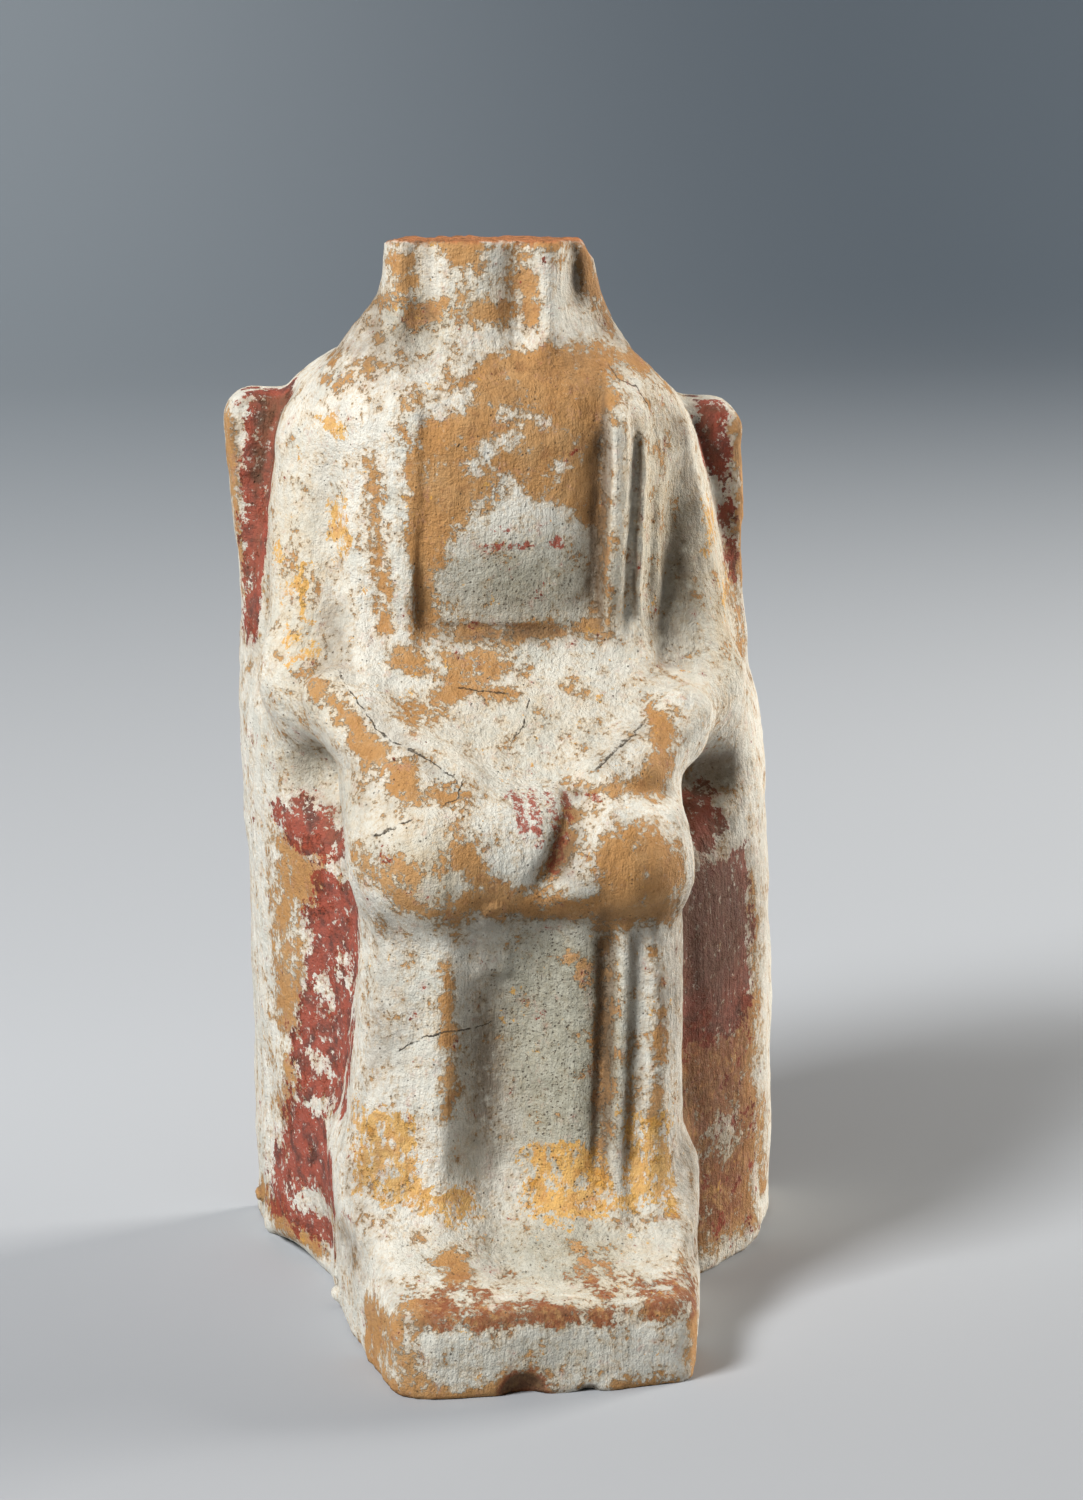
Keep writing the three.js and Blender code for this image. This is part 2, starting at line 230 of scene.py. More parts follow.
def chest_relief(x0, f, z):
    x = x0 - lean(z)
    span = LAPPET_HALF_SPAN
    shown = ramp(f, 0.45 * CHEST_REACH, 0.72 * CHEST_REACH)
    top = 1 - ramp(z, 0.835 * HEIGHT, 0.885 * HEIGHT)
    foot = 0.597 * HEIGHT + 0.12 * (x + span) ** 2 * plateau(x, -1.2 * span, -0.7 * span, 1)
    lappet = plateau(x, -1.42 * span, -0.81 * span, 0.9) * ramp(z, foot, foot + 1.8)
    tongue = plateau(x, -1.14 * span, -0.81 * span, 0.9) * ramp(z, foot, foot + 1.8)
    seam = swell(x, (-1.13 - 0.03 * lean(z)) * span, 0.055 * span) * ramp(z, foot, foot + 3)
    first = plateau(x, 0.86 * span, 1.05 * span, 0.9)
    pair = plateau(x, 0.86 * span, 1.27 * span, 0.9)
    second = plateau(x, 1.16 * span, 1.22 * span, 0.5) * (1 - ramp(z, 0.8 * HEIGHT, 0.84 * HEIGHT))
    third = swell(x, 1.4 * span, 0.06 * span) * plateau(z, 0.65 * HEIGHT, 0.76 * HEIGHT, 4)
    pleat_foot = ramp(z, 0.59 * HEIGHT, 0.604 * HEIGHT)
    pleats = (0.45 * pair + 0.6 * first + 0.4 * second) * pleat_foot + 0.4 * third
    gully_width = np.where(x < 0.82 * span, 3.0, 0.8)
    gully = 0.5 * swell(x, 0.82 * span, gully_width) * plateau(z, 0.61 * HEIGHT, 0.82 * HEIGHT, 3)
    low = ramp(z, 0.6 * HEIGHT, 0.65 * HEIGHT) * (1 - ramp(z, 0.73 * HEIGHT, 0.81 * HEIGHT))
    hollow = low * (swell(x, 1.6 * span, 0.17 * span) + 0.25 * swell(x, -1.6 * span, 0.14 * span))
    sleeve_edge = swell(x, mix(2.08, 1.75, ramp(z, WAIST, BACK_TOP)) * span, 0.12 * span)
    flat = mix(1.0, 0.35, ramp(z, 0.65 * HEIGHT, 0.74 * HEIGHT))
    mantle = flat * (0.7 * lappet + 0.35 * tongue - 0.3 * seam)
    folds = top * (mantle + pleats - gully + 0.6 * sleeve_edge)
    between = ramp(0.78 * span - np.abs(x), -0.5, 1.5)
    crease = between * (0.9 * swell(z, WAIST - 0.4, 1.0) - 0.4 * swell(z, WAIST - 3.6, 1.8))
    return shown * LAPPET_RELIEF * (folds - 1.6 * hollow - crease)


def lap(x0, f, z):
    """Thighs, knees with the notch between them, and the cloth stretched over them."""
    x = x0 + 0.8
    right = ramp(x, 3, 12)
    across = np.abs(x) + 2.6 * right
    knee = KNEE_REACH - KNEE_RADIUS
    end = (KNEE_SPREAD / 2, knee, KNEE)
    hip = (KNEE_SPREAD / 2, 0.42 * KNEE_REACH, 0.54 * HEIGHT)
    thigh = limb(across, f, z, hip, end, 1.1 * KNEE_RADIUS, KNEE_RADIUS) + 1.4 * right
    notch = 3.0 * swell(x, 1.9 + 0.56 * (z - KNEE), 2.5) * ramp(z, KNEE - 5, KNEE + 1)
    bar = limb(across, f, z, (0, knee, KNEE), end, KNEE_RADIUS, KNEE_RADIUS)
    bar = bar + notch + 0.9 * swell(x, 0, 5)
    slope = (f + z - KNEE_REACH - 0.441 * HEIGHT) * math.sqrt(0.5)
    web = common(slope, f - KNEE_REACH + 5.5, 5)
    sheet = common(common(web, np.abs(x + 1.8) - 0.9 * KNEE_SPREAD + 1.8, 6), KNEE_UNDER - z, 5)
    return join(join(thigh, bar, 3), sheet, 3.5)


def arms(x, f, z):
    across = np.abs(x) + 2.0 * ramp(x, 5, 15)
    half = THRONE_WIDTH / 2
    elbow = (0.75 * half, 0.86 * ARM_REACH, ELBOW - 1)
    shoulder = (0.62 * half, 0.5 * ARM_REACH, 0.78 * HEIGHT)
    wrist = (0.59 * half, 0.64 * KNEE_REACH, 0.552 * HEIGHT)
    hand = (0.3 * half, 0.83 * KNEE_REACH, 0.515 * HEIGHT)
    upper = limb(across, f, z, shoulder, elbow, 7, 6.8)
    fore = limb(across, f, z, elbow, wrist, 6.4, 0.85 * FOREARM_RADIUS)
    palm = limb(across, f, z, wrist, hand, 0.85 * FOREARM_RADIUS, 0.6 * FOREARM_RADIUS)
    return join(upper, join(fore, palm, 2), 5)


def forearms(x0, f, z0):
    """The forearms and hands as they lie on the lap, not quite alike."""
    left_wrist = (-17.4, 51.3, 78.3)
    right_wrist = (15.0, 49.0, 80.3)
    left = limb(x0, f, z0, (-28.0, 36.2, 89.2), left_wrist, 3.8, 4.1)
    left_hand = limb(x0, f, z0, left_wrist, (-11.6, 54.0, 77.3), 3.9, 2.7)
    right = limb(x0, f, z0, (22.8, 41.0, 86.6), right_wrist, 4.1, 4.1)
    right_hand = limb(x0, f, z0, right_wrist, (7.6, 51.0, 78.6), 3.9, 2.7)
    return np.minimum(join(left, left_hand, 1.5), join(right, right_hand, 1.5))


def fold_relief(x, z):
    half = SKIRT_WIDTH / 2
    shown = 1 - ramp(z, KNEE_UNDER - 6, KNEE_UNDER + 2)
    valley_x = -0.16 * half
    valley_width = np.where(x < valley_x, 4.6, 9.0)
    valley = 1.6 * swell(x, valley_x, valley_width) * ramp(z, KNEE_UNDER, KNEE_UNDER - 20)
    ridge = 0.55 * swell(x, -0.52 * half, 0.11 * half) + 0.2 * swell(x, 0.28 * half, 0.1 * half)
    pleat = ramp(z, 0.1 * HEIGHT, 0.2 * HEIGHT) * swell(x, 0.47 * half, 0.055 * half)
    crease = 0.3 * swell(x, 0.67 * half, 0.05 * half)
    edge = 0.5 * swell(x, 0.57 * half, 0.06 * half) + 0.6 * swell(x, 0.84 * half, 0.12 * half)
    return shown * FOLD_DEPTH * (valley - ridge + 0.75 * pleat + crease - edge)


def skirt(x, f, z):
    down = 1 - ramp(z, HEM, KNEE_UNDER)
    across = x + 2.5 + 2.5 * down
    half = SKIRT_WIDTH / 2 + 1.4 * down * down
    reach = KNEE_REACH - 5 + 4.2 * down
    block = common(np.abs(across) - half, f - reach + fold_relief(across, z), 11)
    return common(common(block, z - KNEE, 6), HEM - 4 - z, 5)


def feet(x, f, z):
    across = x + 4.6
    half = SKIRT_WIDTH / 2
    share = np.clip((STOOL_REACH - 1 - f) / (STOOL_REACH - KNEE_REACH), 0, 1.4)
    between = 1.1 * swell(across, -0.18 * half, 0.13 * half) * ramp(share, 0.1, 0.6)
    top = STOOL_HEIGHT - 0.6 + (HEM - STOOL_HEIGHT + 1) * share**1.35 - between
    side = np.abs(across) - half + 3 - 3 * share
    return common(common(z - top, side, 4), f - STOOL_REACH + 3, 3)


def stool(x, f, z):
    half = STOOL_WIDTH / 2
    across = x + 5
    left = -0.975 * (across + half + 1.2) + 0.223 * (f - 0.7 * STOOL_REACH)
    right = 0.955 * (across - half - 1.2) + 0.297 * (f - 0.82 * STOOL_REACH)
    front_left = -0.05 * (across - 0.05 * half) + f - STOOL_REACH
    front_right = 0.2 * (across - 0.05 * half) + 0.98 * (f - STOOL_REACH)
    sides = common(left, common(right, np.abs(across) - half - 2.2, 4), 4)
    plan = common(sides, common(front_left, front_right, 3), 4.5)
    return common(plan, z - STOOL_HEIGHT + 0.03 * np.abs(across), 3.2)


def underside(x, f, z):
    corner = ramp(np.abs(x) / (THRONE_WIDTH / 2), 0.72, 1) * ramp(f, 0.3 * ARM_REACH, ARM_REACH)
    return -1.2 + (3.6 - 0.03 * x) * corner - z


def break_face(x0, f, z0):
    """The rough broken end of the neck, with the corner lost on one side."""
    face = z0 - HEIGHT + BREAK_FALL * (NECK_FRONT - f) + 0.4 * TILT * x0
    rough = 0.35 * noise(x0, f, z0, 2.2) + 0.15 * noise(x0, f, z0, 0.9)
    corner = 0.74 * (x0 - 11.6) + 0.67 * (z0 - 150.2)
    return common(face, corner, 0.3) + rough


def chips(x0, f, z0):
    """Pieces lost from the foot of the stool."""
    loss = ball(x0, f, z0, (-5.6, STOOL_REACH, 0), (3.4, 2.6, 3.6))
    notch = ball(x0, f, z0, (3.6, STOOL_REACH - 1, 0), (1.5, 1.4, 1.0))
    return np.minimum(1.3 * (loss - 1), notch - 1)


def lumps(x0, f, z0):
    """Stray pellets of clay low on one side, by the stool and by the throne."""
    pellets = (((-27.9, 46, 5.2), 1.2), ((-28.2, 47, 2.4), 1.4), ((-37.0, 9, 5.0), 1.3))
    return np.min([ball(x0, f, z0, place, (1, 1, 1)) - r for place, r in pellets], axis=0)


def hand_finish(x0, f, z0):
    """Unevenness left by pressing and smoothing the clay by hand."""
    broad = 0.34 * noise(x0, f, z0, 7.0)
    strokes = 0.16 * noise(x0, f, 0.6 * z0, 2.6)
    return broad + strokes + 0.08 * noise(x0, f, z0, 1.3)


def arm_hollows(x, f, z):
    """The deep hollow over one armrest and the shallow one over the other."""
    deep = ball(x, f, z, (27.6, 30.6, 74.6), (4.4, 4.4, 3.1))
    shallow = ball(x, f, z, (-29.0, 31.5, 75.5), (4.6, 4.0, 4.0))
    return np.minimum(3.3 * (deep - 1), 4.0 * (shallow - 1))


def slip_relief(x, f, z):
    """Thick places in the slip: a flap below the knees and a patch between them."""
    flap_top = 64.5 - 0.35 * (x + 7.5) ** 2
    flap = 0.5 * plateau(x, -10.2, -5.4, 0.4) * plateau(z, 52.5, flap_top, 0.6)
    knee = 0.4 * ramp(-oval(x, z, 3.6, 66.6, 3.8, 2.6), 0.4, -0.4)
    return (flap + knee) * ramp(f, *LAP_REAR)


def clay(x0, f, z0):
    """The whole figure: negative inside the clay, positive outside it."""
    x = x0 - middle(z0)
    z = z0 + TILT * x * ramp(z0, 0.15 * HEIGHT, 0.8 * HEIGHT)
    d = join(throne_back(x, f, z), seat(x, f, z), 3)
    body = trunk(x, f, z) - chest_relief(x, f, z)
    throat = neck(x, f, z) - neck_relief(x, f, z)
    d = join(d, join(body, throat, 9), 1.6)
    d = join(d, arms(x, f, z), 3)
    d = join(d, lap(x, f, z), 3)
    d = join(d, forearms(x0, f, z0), 1.6)
    rest = join(stool(x, f, z), feet(x, f, z), 3)
    d = join(d, join(skirt(x, f, z), rest, 7), 3)
    d = common(d, -arm_hollows(x, f, z), 2.0)
    d = common(common(d, -f, 2.5), underside(x, f, z), 2.5)
    d = join(d, lumps(x0, f, z0), 0.5) + hand_finish(x0, f, z0) - slip_relief(x, f, z0)
    d = common(d, break_face(x0, f, z0), 0.5)
    d = common(d, -chips(x0, f, z0), 0.4)
    return np.maximum(d, -z0)


def slope_of(field, p, step=0.1):
    """How steeply and which way a field grows at each point."""
    parts = []
    for axis in range(3):
        shift = np.zeros(3)
        shift[axis] = step
        parts.append(field(*(p + shift).T) - field(*(p - shift).T))
    return np.stack(parts, axis=1) / (2 * step)


def net_points(value, cells):
    """One point in each cell: the middle of the places where the surface cuts its edges."""
    total = np.zeros((len(cells), 3))
    hits = np.zeros(len(cells))
    for start in CELL_CORNERS:
        for axis in range(3):
            if start[axis]:
                continue
            end = list(start)
            end[axis] = 1
            a = value[tuple((cells + start).T)]
            b = value[tuple((cells + end).T)]
            cut = (a < 0) != (b < 0)
            t = np.where(cut, a / np.where(cut, a - b, 1), 0)
            place = cells + np.array(start, float)
            place[:, axis] += t
            total += place * cut[:, None]
            hits += cut
    return total / hits[:, None]


def drawn_on(field, points, largest_move):
    """The points drawn onto the surface in a few short moves."""
    for _ in range(4):
        d = field(*points.T)
        g = slope_of(field, points)
        move = -d[:, None] * g / np.maximum((g * g).sum(1), 0.2)[:, None]
        points += np.clip(move, -largest_move, largest_move)
    return points


def net_faces(inside, number):
    """Four-sided faces, each around a grid edge that the surface cuts."""
    size = inside.shape
    quads = []
    for axis in range(3):
        u, v = [(1, 2), (2, 0), (0, 1)][axis]
        first = [slice(1, n - 1) for n in size]
        first[axis] = slice(0, size[axis] - 1)
        second = list(first)
        second[axis] = slice(1, size[axis])
        a, b = inside[tuple(first)], inside[tuple(second)]
        offset = np.array([s.start for s in first])
        for here, flip in ((a & ~b, False), (~a & b, True)):
            edge = np.argwhere(here) + offset
            ring = []
            for du, dv in ((0, 0), (-1, 0), (-1, -1), (0, -1)):
                step = np.zeros(3, dtype=int)
                step[u], step[v] = du, dv
                ring.append(number[tuple((edge + step).T)])
            quads.append(np.stack(ring[::-1] if flip else ring, axis=1))
    return np.concatenate(quads)


def skin(field, low, high, cell):
    """Points and faces of the surface, with one point in each grid cell that it crosses."""
    axes = [np.arange(a, b + cell, cell) for a, b in zip(low, high)]
    size = [len(axis) for axis in axes]
    value = np.empty(size)
    f, z = np.meshgrid(axes[1], axes[2], indexing="ij")
    for i, x in enumerate(axes[0]):
        value[i] = field(np.full_like(f, x), f, z)
    inside = value < 0
    count = np.zeros([n - 1 for n in size], dtype=np.int8)
    for i, j, k in CELL_CORNERS:
        count += inside[i:size[0] - 1 + i, j:size[1] - 1 + j, k:size[2] - 1 + k]
    cells = np.argwhere((count > 0) & (count < len(CELL_CORNERS)))
    number = np.full(count.shape, -1, dtype=np.int64)
    number[tuple(cells.T)] = np.arange(len(cells))
    points = net_points(value, cells) * cell + np.array(low)
    return drawn_on(field, points, LARGEST_MOVE * cell), net_faces(inside, number)


def viewpoint():
    """Right, up and forward of the view, and where it stands, in x, -f, z."""
    level = math.cos(PITCH)
    back = np.array([math.sin(YAW) * level, -math.cos(YAW) * level, math.sin(PITCH)])
    right = np.cross(-back, [0, 0, 1])
    right /= np.linalg.norm(right)
    up = np.cross(right, -back)
    return right, up, -back, np.array([AIM[0], -AIM[1], AIM[2]]) + back * DISTANCE


def box(a, b, left, right, low, high):
    """Millimetres into a rectangle: positive inside it, negative outside."""
    return np.minimum(np.minimum(a - left, right - a), np.minimum(b - low, high - b))


def oval(a, b, centre_a, centre_b, half_a, half_b):
    """Millimetres into an oval."""
    ring = np.hypot((a - centre_a) / half_a, (b - centre_b) / half_b)
    return (1 - ring) * min(half_a, half_b)


def strip(a, b, start, end, half):
    """Millimetres into a round-ended stripe between two places."""
    along_a, along_b = end[0] - start[0], end[1] - start[1]
    share = ((a - start[0]) * along_a + (b - start[1]) * along_b) / (along_a**2 + along_b**2)
    t = np.clip(share, 0, 1)
    return half - np.hypot(a - start[0] - t * along_a, b - start[1] - t * along_b)


def either(*parts):
    """Inside any of the places."""
    return np.max(parts, axis=0)


def without(whole, *parts):
    """Inside the first place and outside all the others."""
    return np.minimum(whole, -np.max(parts, axis=0))


# The painted and worn places are drawn as seen from the front, in millimetres: x from the
# middle line of the figure, z from the ground. Each is positive inside its place, and nothing
# is left of it once AWAY is taken from it.
AWAY = 6.0


def chest_bare(x, z):
    """Slip lost from the chest, between the mantle edges."""
    bib = either(box(x, z, -14.6, 14.0, 96.5, 131.5), oval(x, z, 5, 131, 12, 6.5))
    slip = either(
        box(x, z, -11.5, 13.2, 98.2, 107),
        oval(x, z, 1.5, 108.5, 11.8, 8.5),
        oval(x, z, 0.4, 116, 3.2, 4.6),
    )
    flakes = either(
        strip(x, z, (-5.2, 121.8), (1.2, 127.2), 1.1),
        strip(x, z, (5.2, 117.8), (7.6, 121.8), 0.8),
        strip(x, z, (-13, 128.4), (-5, 132.4), 1.4),
        strip(x, z, (-2, 130.4), (6, 128.2), 0.6),
    )
    groove = strip(x, z, (-19.0, 122), (-18.4, 98.0), 0.55)
    tip = strip(x, z, (-18.0, 94.6), (-14.6, 94.2), 0.9)
    return either(without(bib, slip, flakes), groove, tip)


def shoulder_bare(x, z):
    right = either(
        strip(x, z, (8, 136), (21, 134.6), 1.0),
        strip(x, z, (21, 134.6), (30, 128), 0.5),
    )
    left = either(
        strip(x, z, (-31.5, 131), (-25, 136.4), 1.6),
        strip(x, z, (-24, 132), (-17, 135.5), 0.3),
    )
    return either(right, left)


def neck_bare(x, z):
    front = either(
        oval(x, z, -4.6, 151.4, 2.8, 2.2),
        oval(x, z, -1.0, 142.8, 3.8, 1.6),
        oval(x, z, -9.4, 142.6, 2.2, 1.4),
        strip(x, z, (3.2, 150), (4.6, 142.4), 1.3),
    )
    left = either(
        strip(x, z, (-15.6, 144.2), (-11.8, 147.2), 0.9),
        strip(x, z, (-14.9, 149.3), (-12, 149.6), 0.5),
    )
    right = either(
        strip(x, z, (13.0, 149.6), (14.6, 145.0), 1.0),
        strip(x, z, (14.6, 145), (17.5, 139), 0.3),
    )
    return either(front, left, right)


def arm_bare(x, z):
    left = either(
        strip(x, z, (-29.6, 91.8), (-24.6, 87.2), 0.9),
        strip(x, z, (-23.6, 84.6), (-18.2, 80.4), 1.9),
        strip(x, z, (-17.6, 79.6), (-10.4, 79.3), 0.5),
    )
    right = either(
        strip(x, z, (19.2, 86.2), (16.8, 79.0), 1.8),
        strip(x, z, (7.6, 79.6), (15.4, 79.8), 0.7),
    )
    waist = either(
        oval(x, z, -6.0, 92.9, 4.3, 1.5),
        strip(x, z, (-16.4, 87.8), (-9.8, 90.7), 1.0),
        strip(x, z, (-9.8, 90.7), (-1.5, 90.0), 0.3),
    )
    return either(left, right, waist)


def knee_bare(x, z):
    left = either(
        strip(x, z, (-25.0, 70.5), (-21.5, 65.5), 1.0),
        strip(x, z, (-21.5, 65.5), (-12, 63.2), 0.9),
        oval(x, z, -20.5, 70.0, 2.0, 1.6),
    )
    inner = either(
        strip(x, z, (-12.6, 73.6), (-7.0, 66.4), 1.9),
        strip(x, z, (-10.0, 65.0), (16.0, 62.2), 2.2),
    )
    right = oval(x, z, 12.4, 68.2, 7.0, 7.0)
    notch = strip(x, z, (4.4, 74.6), (0.4, 67.6), 1.2)
    return without(either(left, inner, right, notch), oval(x, z, 3.4, 66.9, 3.7, 2.2))


def skirt_bare(x, z):
    left = strip(x, z, (-14.5, 55), (-15.5, 34), 0.7)
    right = either(
        strip(x, z, (8.4, 61), (7.0, 34.5), 0.75),
        strip(x, z, (6.8, 31), (6.9, 24), 0.7),
    )
    creases = either(
        strip(x, z, (11.1, 43), (10.7, 31), 0.3),
        strip(x, z, (14.9, 43.5), (14.4, 31), 0.1),
    )
    spots = either(
        strip(x, z, (3.0, 55), (6.6, 55), 0.5),
        strip(x, z, (4.6, 55), (4.3, 51), 0.7),
    )
    return either(left, right, creases, spots)


def foot_bare(x, f):
    """Slip lost from the tops of the feet, as seen from above."""
    left = either(oval(x, f, -16.0, 72.6, 1.9, 4.6), oval(x, f, -20.2, 66, 1.6, 1.4))
    right = either(
        strip(x, f, (1.9, 66), (2.9, 76.5), 0.4),
        strip(x, f, (5.4, 73), (6.6, 77), 0.7),
    )
    return either(left, right)


def stool_bare(x, z):
    top = strip(x, z, (-22, 11.8), (4.5, 11.4), 0.75)
    left = without(
        box(x, z, -32, -22.6, 0, 10.0),
        strip(x, z, (-23.4, 11), (-25.4, 3), 0.8),
    )
    right = either(
        oval(x, z, 12.6, 11.4, 3.6, 1.6),
        strip(x, z, (17, 11), (17.4, 1), 0.9),
    )
    foot = either(
        strip(x, z, (-27, 0.2), (-10, 0.2), 1.0),
        strip(x, z, (6, 0.2), (14, 0.2), 0.6),
    )
    chip = oval(x, z, -7.4, 0.0, 3.4, 3.9)
    return either(top, left, right, foot, chip)


def rim_bare(x, z):
    """Slip lost from the throne: its rims, its upper corners and its right front."""
    left = either(
        strip(x, z, (-34.8, 65), (-35.4, 36), 1.1),
        strip(x, z, (-35.7, 31), (-35.9, 22), 0.9),
        strip(x, z, (-39, 5.6), (-33, 4.2), 1.5),
        oval(x, z, -32.6, 61, 2.6, 5),
    )
    right = either(
        strip(x, z, (33.8, 58), (34.6, 30), 0.1),
        strip(x, z, (34.6, 22), (35.4, 8), 0.8),
        strip(x, z, (35.6, 104), (36.0, 88), 0.4),
    )
    corners = either(
        strip(x, z, (-38.2, 124), (-39.2, 98), 1.5),
        strip(x, z, (38.2, 122), (38.4, 98), 1.4),
    )
    patches = either(oval(x, z, 28.6, 39.5, 3.2, 4.6), oval(x, z, 28.4, 20.5, 2.6, 3.6))
    panel = without(np.minimum(box(x, z, 19, 33.5, 4, 40), 1.2), patches)
    return either(left, right, corners, panel)


def corner_red(x, z):
    """Red paint on the upper corners of the throne."""
    left = box(x, z, -35.6 - 0.05 * (130 - z), -28, 92, 130)
    right = either(box(x, z, 31, 36.2, 114.5, 126), strip(x, z, (35.2, 115), (35.7, 99), 0.6))
    return either(left, right)


def panel_red(x, z):
    """Red paint on the fronts of the throne, down both sides of the skirt."""
    flakes = either(
        oval(x, z, -30.5, 43.8, 1.0, 2.0),
        oval(x, z, -27.5, 48.2, 0.7, 2.0),
        oval(x, z, -31.2, 33, 1.0, 1.6),
        oval(x, z, -30.6, 25.6, 2.3, 1.7),
        oval(x, z, -33, 10.6, 3.0, 2.0),
        strip(x, z, (-33.5, 63), (-29.3, 63.2), 0.6),
    )
    left = box(x, z, -39.0 + 0.13 * z, -23.5, 5, 62)
    faded = np.minimum(box(x, z, 19, 33.5, 4, 38), -1.0)
    right = either(box(x, z, 19, 33.2, 36, 62.5), faded)
    tops = either(oval(x, z, -31, 68, 4.4, 4.4), oval(x, z, 26.0, 68.0, 3.4, 4.4))
    return either(without(either(left, tops), flakes), right)


def ochre_paint(x, z):
    """Ochre band along the hem, and what is left of ochre on the sleeves."""
    hem = 18.2 + 0.0055 * (x + 3) ** 2
    band = either(
        box(x, z, -28.5, -19.8, 15, 34.0),
        oval(x, z, 1.0, 22.6, 6.4, 5.8),
        box(x, z, 9.9, 16.5, 15, 32),
        strip(x, z, (-20, 21.5), (-13, 20.5), 1.7),
        strip(x, z, (15.6, 31), (16.2, 22), 0.7),
        strip(x, z, (5, 20.4), (10, 20.6), 0.8),
    )
    left = either(
        oval(x, z, -24, 127, 1.2, 1.2),
        oval(x, z, -24, 111.8, 1.4, 3.3),
        oval(x, z, -30, 94.8, 1.2, 1.8),
        strip(x, z, (-32.2, 108), (-32.4, 93), 0.3),
        strip(x, z, (-29.8, 106), (-30.2, 99), 0.2),
    )
    right = either(oval(x, z, 31, 108.5, 1.3, 2.8), oval(x, z, 33, 99, 0.8, 1.4))
    return either(np.minimum(band, z - hem), left, right)


def red_dabs(x, z):
    """What is left of a fringe of short strokes on the lap, and two rows on the chest."""
    strokes = ((-3.3, 74.2), (-1.0, 73.0), (1.6, 74.2), (3.8, 75.6))
    fringe = [strip(x, z, (top, 77.8), (top + 0.3, end), 0.75) for top, end in strokes]
    hem = either(
        strip(x, z, (-4.2, 78.6), (-0.6, 78.4), 0.35),
        strip(x, z, (4.2, 78.4), (8.4, 77.9), 0.35),
    )
    notch = strip(x, z, (2.6, 72.8), (1.2, 69.0), 0.9)
    rows = either(
        strip(x, z, (-4.3, 110.0), (3.0, 110.2), 0.55),
        oval(x, z, 6.6, 110.4, 1.3, 0.9),
        strip(x, z, (-5, 112.6), (5, 112.8), 0.1),
    )
    return either(*fringe, hem, notch, rows)


def cloud(a, b, centre_a, centre_b, size_a, size_b):
    """A soft spot: 1 in its middle, fading outwards."""
    return np.exp(-(((a - centre_a) / size_a) ** 2) - ((b - centre_b) / size_b) ** 2)


def grey_film_and_shade(x, z):
    """Grey film on the slip, darkened further as painted shade in the hollows over the armrests,
    beside the right sleeve and down the skirt.
    """
    # Grey film down the middle of the skirt, darker there also as painted shade in its folds.
    skirt_middle = 1.6 * cloud(x, z, 0.5, 43, 8.5, 19) + 0.3 * cloud(x, z, 7, 46, 4, 16)
    skirt_side = 0.25 * cloud(x, z, -18, 48, 7, 14)
    # Grey film low on the chest, and painted shade in the hollow beside the right sleeve.
    chest = cloud(x, z, 1, 104.5, 12.5, 7.5) + 0.6 * cloud(x, z, 26, 104, 3.5, 10)
    neck_side = 0.7 * cloud(x, z, -12, 141, 4.5, 4)
    # Painted shade in the hollows over the armrests.
    armrests = 0.6 * cloud(x, z, 28.6, 74.5, 5, 4) + 0.6 * cloud(x, z, -31, 77, 5, 3.5)
    foot = 0.5 * cloud(x, z, -5.5, 6, 17, 4.5) + 0.5 * cloud(x, z, -4, 15.5, 13, 3)
    return np.clip(skirt_middle + skirt_side + chest + neck_side + armrests + foot, 0, 1)


def worn_places(x, z):
    """Slip rubbed thin and tan by handling."""
    waist = 0.6 * cloud(x, z, -1, 87, 16, 6)
    neck_front = 0.4 * cloud(x, z, -2, 145, 14, 8)
    sleeves = 0.8 * cloud(x, z, -31, 100, 5, 24) + 0.2 * cloud(x, z, -26, 112, 3, 14)
    sleeves = sleeves + 1.1 * cloud(x, z, 22, 114, 8, 18) + 0.9 * cloud(x, z, 32, 98, 4, 12)
    knee = 1.1 * cloud(x, z, -16.5, 68, 5, 6) + 0.5 * cloud(x, z, -18, 74, 8, 6)
    low = 0.5 * cloud(x, z, 6, 16, 10, 4) + 0.6 * cloud(x, z, 29, 30, 5, 24)
    return np.clip(waist + neck_front + sleeves + knee + low, 0, 1)


def stain_and_shade_in_hollows(x, z):
    """Brown sooty dirt in the deepest hollows and creases, with painted shade laid in the same
    places.
    """
    sleeve = 0.75 * cloud(x, z, 25.6, 104, 3.0, 10)
    chest = 0.8 * cloud(x, z, 12.6, 110, 1.5, 14) + 0.6 * cloud(x, z, 0, 96.6, 14, 1.0)
    chest = chest + 0.35 * cloud(x, z, 0.5, 100.5, 11, 3.5)
    lap_left = ramp(strip(x, z, (-22.5, 89), (-14.5, 82), 0.4), -1.8, 0.5)
    lap_right = ramp(strip(x, z, (16, 86), (9, 82), 0.3), -1.4, 0.4)
    # Dirt and painted shade in the notch between the knees and in a band under them.
    knees = 0.7 * cloud(x, z, 2.6, 71, 2.4, 4) + 0.55 * cloud(x, z, 0, 61.6, 18, 1.8)
    folds = 0.9 * cloud(x, z, -9.4, 39, 3.6, 17) + 0.9 * cloud(x, z, 7.6, 46, 1.3, 18)
    armrest = 0.5 * cloud(x, z, 28.6, 74.8, 3.6, 2.6)
    # Painted shade over the right front of the throne, beside the skirt, with some dirt.
    panel = 1.2 * cloud(x, z, 27, 54, 9, 13) + 0.7 * cloud(x, z, 26, 24, 8, 18)
    lap_creases = 0.35 * (lap_left + lap_right)
    return np.clip(sleeve + chest + lap_creases + knees + folds + armrest + panel, 0, 1)


def edge_fired(x, z):
    """Redder clay along the top edge of the stool and in the chip at its foot."""
    line = ramp(z, 8.4, 9.6) * ramp(z, 15, 13) * ramp(x, -24, -19)
    return np.maximum(line, ramp(oval(x, z, -7.4, 0, 4.2, 4.8), -0.2, 0.4))


